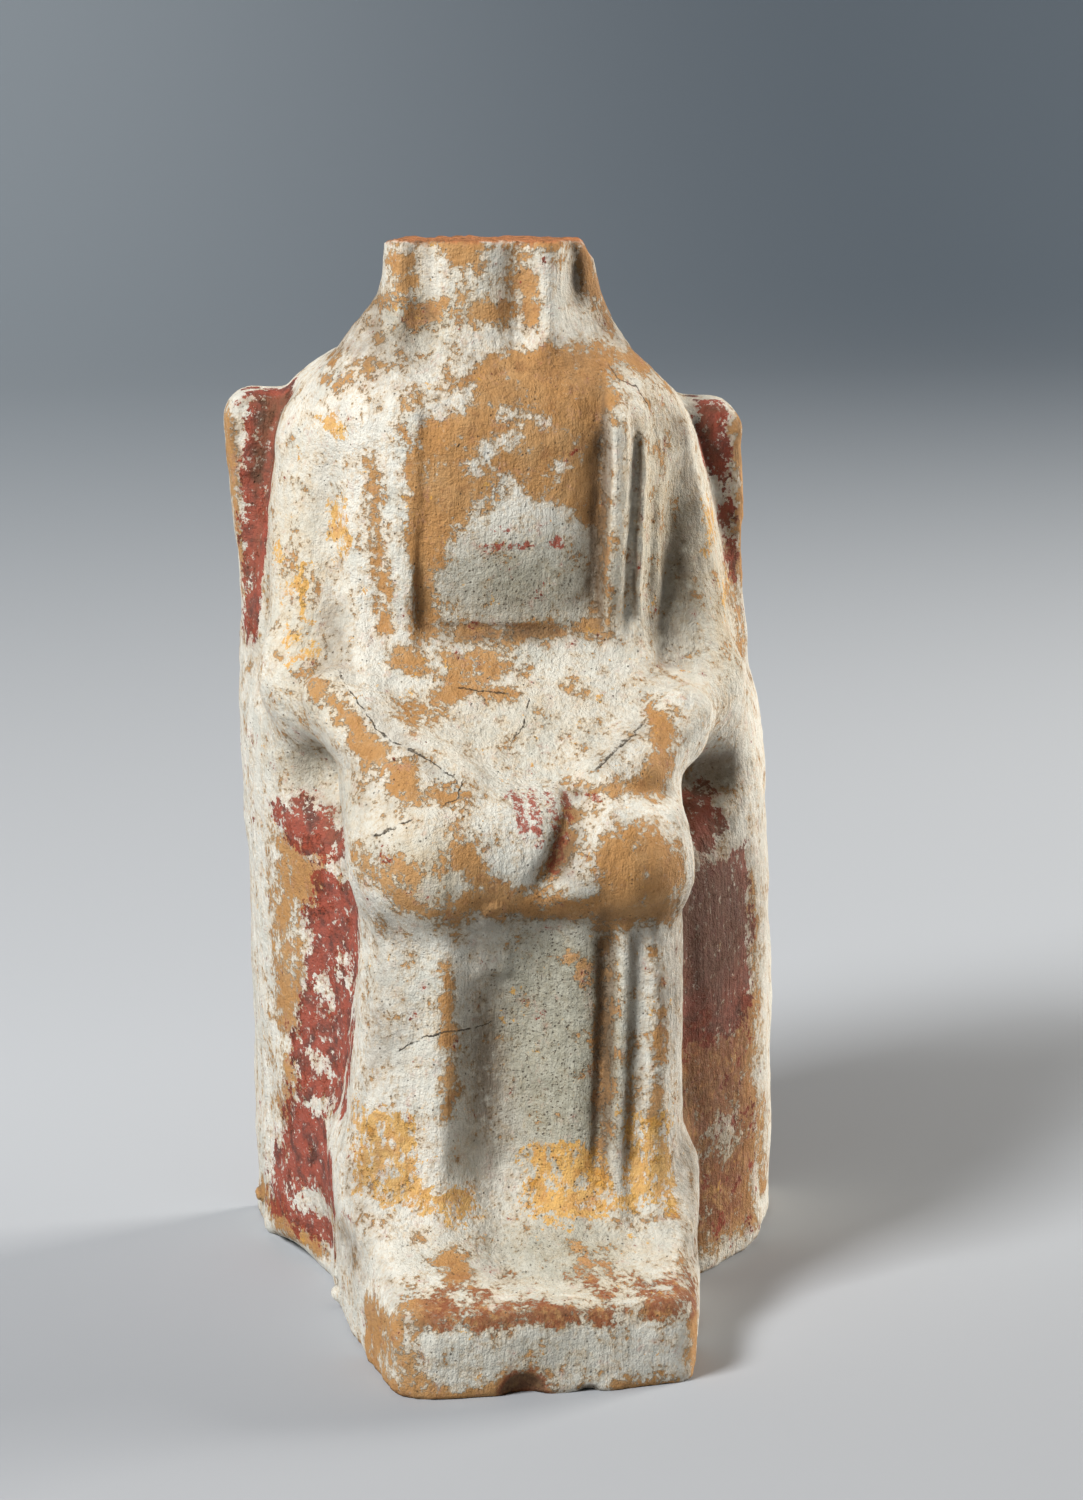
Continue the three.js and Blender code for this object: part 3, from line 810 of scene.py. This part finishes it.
CRACKS = [
    [(16.2, 134.4), (17.2, 132.8), (20.0, 131.6), (21.4, 129.0)],
    [(29.0, 126.0), (30.2, 122.6), (31.0, 119.8)],
    [(-22.0, 42.4), (-19.2, 44.2), (-15.4, 45.8), (-9.8, 44.9), (-7.2, 45.8)],
    [(-1.9, 84.8), (-0.4, 86.0), (0.4, 88.2)],
    [(-13.2, 78.6), (-11.8, 78.9), (-11.2, 80.0)],
    [(-23.2, 74.3), (-21.0, 75.4), (-19.0, 76.6)],
    [(-25.6, 92.2), (-21.2, 86.2), (-16.8, 84.3), (-12.4, 81.7)],
    [(16.4, 86.4), (12.6, 84.2), (8.8, 81.8)],
    [(-9.0, 90.7), (-5.0, 90.2), (-3.0, 89.9)],
]


def crack_side(x, z):
    """Signed distance across the nearest crack, and 1 where it still runs."""
    nearest = np.full(x.shape, 1e9)
    side = np.zeros(x.shape)
    for line in CRACKS:
        for (ax, az), (bx, bz) in zip(line, line[1:]):
            dx, dz = bx - ax, bz - az
            length = math.hypot(dx, dz)
            t = np.clip(((x - ax) * dx + (z - az) * dz) / length**2, 0, 1)
            gap = np.hypot(x - ax - t * dx, z - az - t * dz)
            closer = gap < nearest
            nearest = np.where(closer, gap, nearest)
            side = np.where(closer, ((x - ax) * dz - (z - az) * dx) / length, side)
    return side, np.where(nearest < np.abs(side) + 0.5, 1.0, 0.0)


def bare_clay(x, f, z, normals, front):
    """Where the slip is lost: by places at the front, in large patches behind."""
    upper = either(chest_bare(x, z), shoulder_bare(x, z), neck_bare(x, z), arm_bare(x, z))
    lower = either(knee_bare(x, z), skirt_bare(x, z)) - AWAY * (1 - ramp(f, *LAP_REAR))
    feet_part = foot_bare(x, f) - AWAY * ramp(z, *FEET_TOP)
    stool_part = stool_bare(x, z) - AWAY * (1 - ramp(f, *STOOL_REAR))
    throne = rim_bare(x, z) - AWAY * ramp(f, *THRONE_FRONT)
    seen = either(upper, lower, feet_part, stool_part, throne) - AWAY * (1 - front)
    rear = ramp(-normals[:, 1], 0.3, 0.8)
    return np.maximum(seen, mix(-AWAY, 0.2, rear) + 1.5 * noise(x, f, z, 9.0) * rear)


def paint(points, normals):
    """Float layers over the skin that the material reads."""
    x0, f, z = points.T
    x = x0 - middle(z)
    front = ramp(normals[:, 1], -0.15, 0.1)
    hidden = AWAY * (1 - front)
    corners = corner_red(x, z) - AWAY * ramp(f, *CORNER_FRONT)
    panels = panel_red(x, z) - AWAY * ramp(f, *THRONE_FRONT)
    stool_fired = edge_fired(x, z) * ramp(f, *STOOL_REAR)
    # Darker red clay over the right front of the throne, like the stool edge.
    right_front_dark_clay = box(x, z, 19, 34, 4, 64) / 4
    mantle = plateau(z, 94, 130, 3)

    # How near other clay is, a little way out of the skin and into it, tells hollows and ridges.
    # The material darkens the hollows with dirt and with painted shade.
    near, far = 1.5, 4.5
    hollow = 1 - clay(*(points + normals * near).T) / near
    deep = 1 - clay(*(points + normals * far).T) / far
    ridge = 1 + clay(*(points - normals * near).T) / near
    side, on = crack_side(x, z)
    return {
        "bare": bare_clay(x, f, z, normals, front),
        "red": either(corners, panels) - hidden,
        "ochre": ochre_paint(x, z) - hidden,
        "dabs": red_dabs(x, z) - hidden,
        "fresh": ramp(z, HEIGHT - 5.5, HEIGHT - 3) * ramp(normals[:, 2], 0.35, 0.75),
        "hollow": np.clip(hollow, -0.3, 1),
        "deep": np.clip(deep, -0.3, 1),
        "ridge": np.clip(ridge, 0, 1) * (1 - 0.9 * mantle),
        "grey": grey_film_and_shade(x, z) * front,
        "wear": worn_places(x, z) * front + 0.35 * (1 - front),
        # Sooty dirt together with painted shade, in hollows and on the right front of the throne.
        "soot_and_shade": stain_and_shade_in_hollows(x, z) * front,
        "fired": np.clip(np.maximum(stool_fired, right_front_dark_clay), 0, 1) * front,
        "crack": side,
        "cracked": on * front,
    }


def figurine():
    points, quads = skin(clay, GRID_LOW, GRID_HIGH, CELL)
    normals = slope_of(clay, points, 0.3)
    normals /= np.linalg.norm(normals, axis=1)[:, None]
    layers = paint(points, normals)
    middle_x = (points[:, 0].min() + points[:, 0].max()) / 2
    middle_f = (points[:, 1].min() + points[:, 1].max()) / 2
    place = (points - [middle_x, middle_f, 0]) * [1, -1, 1] * MM
    mesh = bpy.data.meshes.new("figurine_skin")
    mesh.from_pydata(place.tolist(), [], quads.tolist())
    mesh.update()
    mesh.polygons.foreach_set("use_smooth", np.ones(len(mesh.polygons), bool))
    for name, values in layers.items():
        layer = mesh.attributes.new(name, "FLOAT", "POINT")
        layer.data.foreach_set("value", np.asarray(values, dtype=np.float32))
    piece = bpy.data.objects.new("figurine_skin", mesh)
    bpy.context.collection.objects.link(piece)
    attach(piece, "root")
    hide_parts("figurine")
    return piece, middle_x, middle_f


class Shader:
    """Short names for the nodes of one material."""

    def __init__(self, material):
        material.use_nodes = True
        self.tree = material.node_tree
        self.bsdf = self.tree.nodes["Principled BSDF"]
        self.place = self.make("ShaderNodeTexCoord").outputs["Object"]

    def make(self, kind, **settings):
        node = self.tree.nodes.new(kind)
        for key, value in settings.items():
            setattr(node, key, value)
        return node

    def feed(self, socket, value):
        if isinstance(value, bpy.types.NodeSocket):
            self.tree.links.new(value, socket)
        elif isinstance(value, tuple) and len(value) == 3 and socket.type == "RGBA":
            socket.default_value = (*value, 1)
        else:
            socket.default_value = value

    def math(self, operation, a, b=0.0):
        node = self.make("ShaderNodeMath", operation=operation)
        self.feed(node.inputs[0], a)
        self.feed(node.inputs[1], b)
        return node.outputs[0]

    def add(self, a, b):
        return self.math("ADD", a, b)

    def minus(self, a, b):
        return self.math("SUBTRACT", a, b)

    def times(self, a, b):
        return self.math("MULTIPLY", a, b)

    def clip(self, value, low, high):
        return self.math("MINIMUM", self.math("MAXIMUM", value, low), high)

    def layer(self, name):
        return self.make("ShaderNodeAttribute", attribute_name=name).outputs["Fac"]

    def noise(self, size, seed, rough=0.7, detail=5, stretch=(1, 1, 1)):
        """Noise from 0 to 1 whose largest lumps are about size millimetres."""
        move = self.make("ShaderNodeMapping")
        self.feed(move.inputs["Vector"], self.place)
        move.inputs["Scale"].default_value = stretch
        move.inputs["Location"].default_value = (seed, seed, seed)
        node = self.make("ShaderNodeTexNoise")
        self.feed(node.inputs["Vector"], move.outputs[0])
        node.inputs["Scale"].default_value = 1 / (size * MM)
        node.inputs["Detail"].default_value = detail
        node.inputs["Roughness"].default_value = rough
        return node.outputs["Fac"]

    def step(self, value, start, end):
        """Smooth rise from 0 at start to 1 at end."""
        node = self.make("ShaderNodeMapRange", interpolation_type="SMOOTHSTEP")
        self.feed(node.inputs["Value"], value)
        node.inputs["From Min"].default_value = start
        node.inputs["From Max"].default_value = end
        return node.outputs["Result"]

    def patches(self, size, start, end, seed, **kind):
        """Patches of 0 and 1 with soft edges, about size millimetres large."""
        return self.step(self.noise(size, seed, **kind), start, end)

    def wander(self, coarse, fine, seed):
        """Millimetres around 0 that roughen an edge, in lumps of 3.2 mm and of 0.7 mm."""
        a = self.minus(self.noise(3.2, seed, rough=0.68), 0.5)
        b = self.minus(self.noise(0.7, seed + 0.7, rough=0.62), 0.5)
        return self.add(self.times(a, coarse), self.times(b, fine))

    def mix(self, share, a, b):
        node = self.make("ShaderNodeMix", data_type="RGBA")
        self.feed(node.inputs["Factor"], share)
        self.feed(node.inputs["A"], a)
        self.feed(node.inputs["B"], b)
        return node.outputs["Result"]

    def tint(self, colour, over, share, strength):
        """Lay a second colour over the first, at most as strongly as strength says."""
        return self.mix(self.times(share, strength), colour, over)


SLIP = (0.85, 0.835, 0.755)
SLIP_THIN = (0.72, 0.58, 0.41)
SLIP_COOL = (0.64, 0.655, 0.595)
SLIP_WORN = (0.56, 0.48, 0.33)
SLIP_OLIVE = (0.37, 0.36, 0.27)
SLIP_GREY = (0.28, 0.26, 0.19)
CLAY = (0.53, 0.275, 0.10)
CLAY_PALE = (0.58, 0.335, 0.145)
CLAY_DEEP = (0.32, 0.14, 0.055)
CLAY_RED = (0.30, 0.105, 0.045)
CLAY_FRESH = (0.56, 0.22, 0.09)
RED = (0.38, 0.062, 0.032)
RED_DEEP = (0.10, 0.02, 0.014)
RED_WASH = (0.58, 0.30, 0.23)
OCHRE = (0.80, 0.45, 0.10)
OCHRE_DEEP = (0.68, 0.32, 0.055)
DIRT = (0.09, 0.068, 0.045)
# Brown of sooty dirt, also laid as painted shade in the hollows.
SOOT_AND_SHADE = (0.15, 0.095, 0.052)

ROUGHNESS = 0.86
SPECULAR_LEVEL = 0.25
BUMP_STRENGTH = 0.9
PORE_SPACING = 0.9  # millimetres


def slip_thickness(s, streaks):
    """Thickness of the slip, in millimetres: below 0 the clay shows."""
    thick = s.minus(s.wander(10.0, 6.0, seed=11), s.clip(s.layer("bare"), -1.7, 1.7))
    edges = s.clip(s.minus(s.layer("ridge"), 0.18), 0, 1)
    rubbed = s.add(s.times(s.layer("wear"), 0.45), s.times(edges, 3.0))
    brushed = s.times(s.minus(streaks, 0.5), 1.2)
    return s.minus(s.minus(thick, rubbed), brushed)


def body_colour(s, thick):
    """Fired clay, paler and deeper in patches, with a thin haze of slip left on it."""
    pale = s.patches(6.0, 0.35, 0.7, seed=13, rough=0.6, detail=6)
    fired = s.times(s.layer("fired"), s.patches(2.0, 0.34, 0.54, seed=16))
    haze = s.times(s.step(thick, -1.3, 0.0), s.patches(0.5, 0.44, 0.62, seed=18, detail=4))
    colour = s.mix(pale, CLAY, CLAY_PALE)
    colour = s.tint(colour, CLAY_DEEP, s.patches(2.4, 0.5, 0.72, seed=17), 0.6)
    colour = s.mix(fired, colour, CLAY_RED)
    return s.tint(colour, SLIP_THIN, haze, 0.35)


def slip_colour(s, thick, streaks):
    """Cream slip, yellower where it is thin, tan where it is worn, and grey with age and with
    painted shade.
    """
    grey, wear = s.layer("grey"), s.layer("wear")
    stained = s.times(s.patches(2.6, 0.44, 0.7, seed=8), s.add(wear, 0.25))
    cool = s.patches(5.0, 0.48, 0.66, seed=5, rough=0.62, detail=6)
    smudge = s.times(grey, s.patches(1.6, 0.4, 0.66, seed=9, rough=0.75))
    colour = s.mix(s.step(thick, -0.2, 2.2), SLIP_THIN, SLIP)
    colour = s.tint(colour, SLIP_THIN, s.step(streaks, 0.5, 0.72), 0.2)
    colour = s.tint(colour, SLIP_THIN, stained, 0.7)
    colour = s.tint(colour, SLIP_COOL, cool, 0.5)
    colour = s.tint(colour, SLIP_WORN, wear, 0.5)
    # Olive grey of the grey film, which also carries painted shade in the hollows.
    colour = s.tint(colour, SLIP_OLIVE, grey, 0.72)
    return s.tint(colour, SLIP_GREY, smudge, 0.55)


def add_ochre(s, colour):
    depth = s.add(s.clip(s.layer("ochre"), -1.6, 1.6), s.wander(9.0, 4.5, seed=23))
    flaked = s.patches(1.2, 0.4, 0.5, seed=27, rough=0.72, stretch=(1, 1, 0.5))
    tone = s.mix(s.patches(1.6, 0.42, 0.66, seed=29, rough=0.65), OCHRE, OCHRE_DEEP)
    return s.tint(colour, tone, s.times(s.step(depth, -0.1, 0.25), flaked), 0.85)


def add_red(s, colour):
    """Red paint and its pale wash; also says where the paint lies."""
    depth = s.add(s.clip(s.layer("red"), -1.8, 1.8), s.wander(9.0, 4.5, seed=31))
    washed = s.patches(1.5, 0.4, 0.6, seed=33, stretch=(1, 1, 0.4))
    colour = s.tint(colour, RED_WASH, s.times(s.step(depth, -1.5, 0.2), washed), 0.45)
    flaked = s.patches(1.3, 0.36, 0.43, seed=37, rough=0.75)
    lies = s.times(s.step(depth, -0.05, 0.12), flaked)
    tone = s.mix(s.patches(3.0, 0.42, 0.68, seed=41, rough=0.65), RED, RED_DEEP)
    # Red goes deep red under the sooty dirt and painted shade, most of all on the right front of
    # the throne.
    tone = s.mix(s.layer("soot_and_shade"), tone, RED_DEEP)
    return s.tint(colour, tone, lies, 0.93), lies


def add_dabs(s, colour):
    depth = s.add(s.layer("dabs"), s.wander(2.2, 2.2, seed=43))
    flaked = s.patches(0.8, 0.42, 0.52, seed=44)
    return s.tint(colour, RED, s.times(s.step(depth, -0.1, 0.2), flaked), 0.88)


def add_break(s, colour):
    """Clean clay on the broken end of the neck."""
    tone = s.mix(s.patches(1.2, 0.4, 0.65, seed=47), CLAY_FRESH, CLAY_DEEP)
    return s.mix(s.layer("fresh"), colour, tone)


def add_specks(s, colour):
    """Dark pores gathered in groups, and a peppering of dirt in the grey slip."""
    grey = s.layer("grey")
    pores = s.make("ShaderNodeTexVoronoi")
    s.feed(pores.inputs["Vector"], s.place)
    pores.inputs["Scale"].default_value = 1 / (PORE_SPACING * MM)
    dots = s.minus(1.0, s.step(pores.outputs["Distance"], 0.1, 0.22))
    gather = s.add(s.noise(2.2, seed=53), s.times(grey, 0.12))
    specks = s.times(dots, s.step(gather, 0.52, 0.62))
    pepper = s.patches(0.35, 0.6, 0.68, seed=55, rough=0.6, detail=2)
    marks = s.math("MAXIMUM", specks, s.times(s.add(grey, 0.15), pepper))
    return s.tint(colour, DIRT, marks, 0.75), specks


def add_soot_and_shade(s, colour, red_lies):
    """Sooty dirt and painted shade in the hollows and creases, weaker on the red paint."""
    patchy = s.noise(1.6, seed=59, rough=0.72)
    # Dirt and painted shade where other clay lies close, in fine creases and then in broad hollows.
    creases_dirt_and_shade = s.step(s.add(s.layer("hollow"), s.times(patchy, 0.5)), 0.35, 1.0)
    colour = s.tint(colour, SOOT_AND_SHADE, creases_dirt_and_shade, 0.7)
    broad = s.step(s.add(s.layer("deep"), s.times(patchy, 0.4)), 0.25, 0.95)
    colour = s.tint(colour, SOOT_AND_SHADE, broad, 0.65)
    # Sooty dirt and painted shade in the places drawn for them.
    sooty_and_shaded = s.times(s.layer("soot_and_shade"), s.step(patchy, 0.2, 0.55))
    return s.tint(colour, SOOT_AND_SHADE, sooty_and_shaded, s.minus(0.85, s.times(red_lies, 0.5)))


def add_cracks(s, colour):
    """Fine dark cracks that waver and break off here and there."""
    wavy = s.times(s.minus(s.noise(1.5, seed=61, rough=0.6, detail=4), 0.5), 1.2)
    across = s.math("ABSOLUTE", s.add(s.layer("crack"), wavy))
    runs = s.times(s.minus(1.0, s.step(across, 0.03, 0.13)), s.layer("cracked"))
    split = s.times(runs, s.patches(1.8, 0.36, 0.5, seed=67, rough=0.6, detail=3))
    return s.tint(colour, DIRT, split, 0.9), split


def painted_terracotta():
    material = bpy.data.materials.new("painted_terracotta")
    s = Shader(material)
    streaks = s.noise(0.8, seed=3, rough=0.6, stretch=(1, 1, 0.13))
    grain = s.noise(0.3, seed=7, rough=0.6, detail=3)
    lumpy = s.noise(1.4, seed=71)
    thick = slip_thickness(s, streaks)
    cover = s.step(thick, -0.3, 0.3)
    colour = s.mix(cover, body_colour(s, thick), slip_colour(s, thick, streaks))
    colour = add_ochre(s, colour)
    colour, red_lies = add_red(s, colour)
    colour = add_dabs(s, colour)
    colour = add_break(s, colour)
    colour, specks = add_specks(s, colour)
    colour = add_soot_and_shade(s, colour, red_lies)
    colour, split = add_cracks(s, colour)
    s.feed(s.bsdf.inputs["Base Color"], colour)
    s.bsdf.inputs["Roughness"].default_value = ROUGHNESS
    s.bsdf.inputs["Specular IOR Level"].default_value = SPECULAR_LEVEL

    # Height in millimetres.
    raised = ((red_lies, 0.05), (grain, 0.2), (lumpy, 0.75), (streaks, 0.45))
    sunk = ((specks, 0.22), (split, 0.35))
    height = s.times(s.clip(thick, -0.05, 0.35), 0.75)
    for part, share in raised:
        height = s.add(height, s.times(part, share))
    for part, share in sunk:
        height = s.minus(height, s.times(part, share))
    bump = s.make("ShaderNodeBump")
    bump.inputs["Strength"].default_value = BUMP_STRENGTH
    bump.inputs["Distance"].default_value = MM
    s.feed(bump.inputs["Height"], height)
    s.feed(s.bsdf.inputs["Normal"], bump.outputs["Normal"])
    return material


def aim(thing, place, target):
    thing.location = place
    thing.rotation_mode = "QUATERNION"
    thing.rotation_quaternion = (Vector(target) - Vector(place)).to_track_quat("-Z", "Y")


def camera(middle_x, middle_f):
    right, up, forward, eye = viewpoint()
    data = bpy.data.cameras.new("camera")
    data.sensor_width = SENSOR_WIDTH
    data.lens = FOCAL / PICTURE_HEIGHT * SENSOR_WIDTH
    view = bpy.data.objects.new("camera", data)
    turn = Matrix((right, up, -forward)).transposed().to_4x4()
    place = (eye + np.array([-middle_x, middle_f, 0])) * MM
    view.matrix_world = Matrix.Translation(Vector(place)) @ turn
    data.clip_start, data.clip_end = 0.01, 20
    bpy.context.collection.objects.link(view)
    bpy.context.scene.camera = view


# Studio, in metres and watts.
FLOOR = (0.48, 0.51, 0.55)
# Painted shade on the floor in front, and painted light and shade on the wall to the left and
# right.
FLOOR_NEAR_SHADED = (0.37, 0.39, 0.42)
WALL_LEFT_LIT = (0.31, 0.36, 0.415)
WALL_RIGHT_SHADED = (0.105, 0.135, 0.17)
FLOOR_ROUGHNESS = 0.8
FLOOR_FRONT = -2.0
CURVE_START = 0.75
CURVE_RADIUS = 0.5
CURVE_STEPS = 24
WALL_TOP = 2.2
SWEEP_HALF_WIDTH = 8.0
LIGHT_TARGET = (0, 0, 0.08)
ROOM_COLOUR = (1.0, 0.92, 0.82, 1)
ROOM_STRENGTH = 0.042


def sweep_mesh():
    """A floor that curves up into a wall."""
    profile = [(FLOOR_FRONT, 0.0), (CURVE_START, 0.0)]
    for i in range(1, CURVE_STEPS + 1):
        a = i / CURVE_STEPS * math.pi / 2
        y = CURVE_START + CURVE_RADIUS * math.sin(a)
        profile.append((y, CURVE_RADIUS * (1 - math.cos(a))))
    profile.append((CURVE_START + CURVE_RADIUS, WALL_TOP))
    points = [(x, y, z) for y, z in profile for x in (-SWEEP_HALF_WIDTH, SWEEP_HALF_WIDTH)]
    faces = [(2 * i, 2 * i + 1, 2 * i + 3, 2 * i + 2) for i in range(len(profile) - 1)]
    mesh = bpy.data.meshes.new("sweep")
    mesh.from_pydata(points, [], faces)
    mesh.polygons.foreach_set("use_smooth", [True] * len(faces))
    return mesh


def sweep_paint():
    """Pale grey floor that turns into a darker blue-grey wall behind.

    The floor is painted darker in front as shade, and the wall lighter to the left and darker
    to the right as painted light and shade.
    """
    material = bpy.data.materials.new("sweep")
    s = Shader(material)
    split = s.make("ShaderNodeSeparateXYZ")
    s.feed(split.inputs[0], s.place)
    across, away = split.outputs["X"], split.outputs["Y"]
    # Painted shade on the near floor, and painted light to the left and shade to the right on the
    # wall.
    ground = s.mix(s.step(away, -0.06, 0.13), FLOOR_NEAR_SHADED, FLOOR)
    wall = s.mix(s.step(across, -0.14, 0.24), WALL_LEFT_LIT, WALL_RIGHT_SHADED)
    s.feed(s.bsdf.inputs["Base Color"], s.mix(s.step(away, 0.26, 0.86), ground, wall))
    s.bsdf.inputs["Roughness"].default_value = FLOOR_ROUGHNESS
    return material


def sweep():
    floor = bpy.data.objects.new("sweep", sweep_mesh())
    bpy.context.collection.objects.link(floor)
    floor.data.materials.append(sweep_paint())


def around(azimuth, elevation, distance):
    """A place seen from the figure: azimuth turns to the viewer's right from straight in front."""
    a, e = math.radians(azimuth), math.radians(elevation)
    level = distance * math.cos(e)
    return (level * math.sin(a), -level * math.cos(a), distance * math.sin(e))


def area_light(name, place, size, power, colour):
    data = bpy.data.lights.new(name, "AREA")
    data.shape = "RECTANGLE"
    data.size = size
    data.size_y = size
    data.energy = power
    data.color = colour
    lamp = bpy.data.objects.new(name, data)
    bpy.context.collection.objects.link(lamp)
    aim(lamp, place, LIGHT_TARGET)


def lights():
    world = bpy.data.worlds.new("studio")
    world.use_nodes = True
    room = world.node_tree.nodes["Background"]
    room.inputs["Color"].default_value = ROOM_COLOUR
    room.inputs["Strength"].default_value = ROOM_STRENGTH
    bpy.context.scene.world = world
    key_place = around(azimuth=-54, elevation=47, distance=1.25)
    fill_place = around(azimuth=110, elevation=17, distance=1.2)
    area_light("key", key_place, size=0.32, power=19.5, colour=(1.0, 0.985, 0.96))
    area_light("rear_fill", fill_place, size=0.4, power=18.5, colour=(1.0, 0.94, 0.86))


piece, middle_x, middle_f = figurine()
piece.data.materials.append(painted_terracotta())
camera(middle_x, middle_f)
sweep()
lights()
bpy.context.scene.view_settings.view_transform = "Standard"
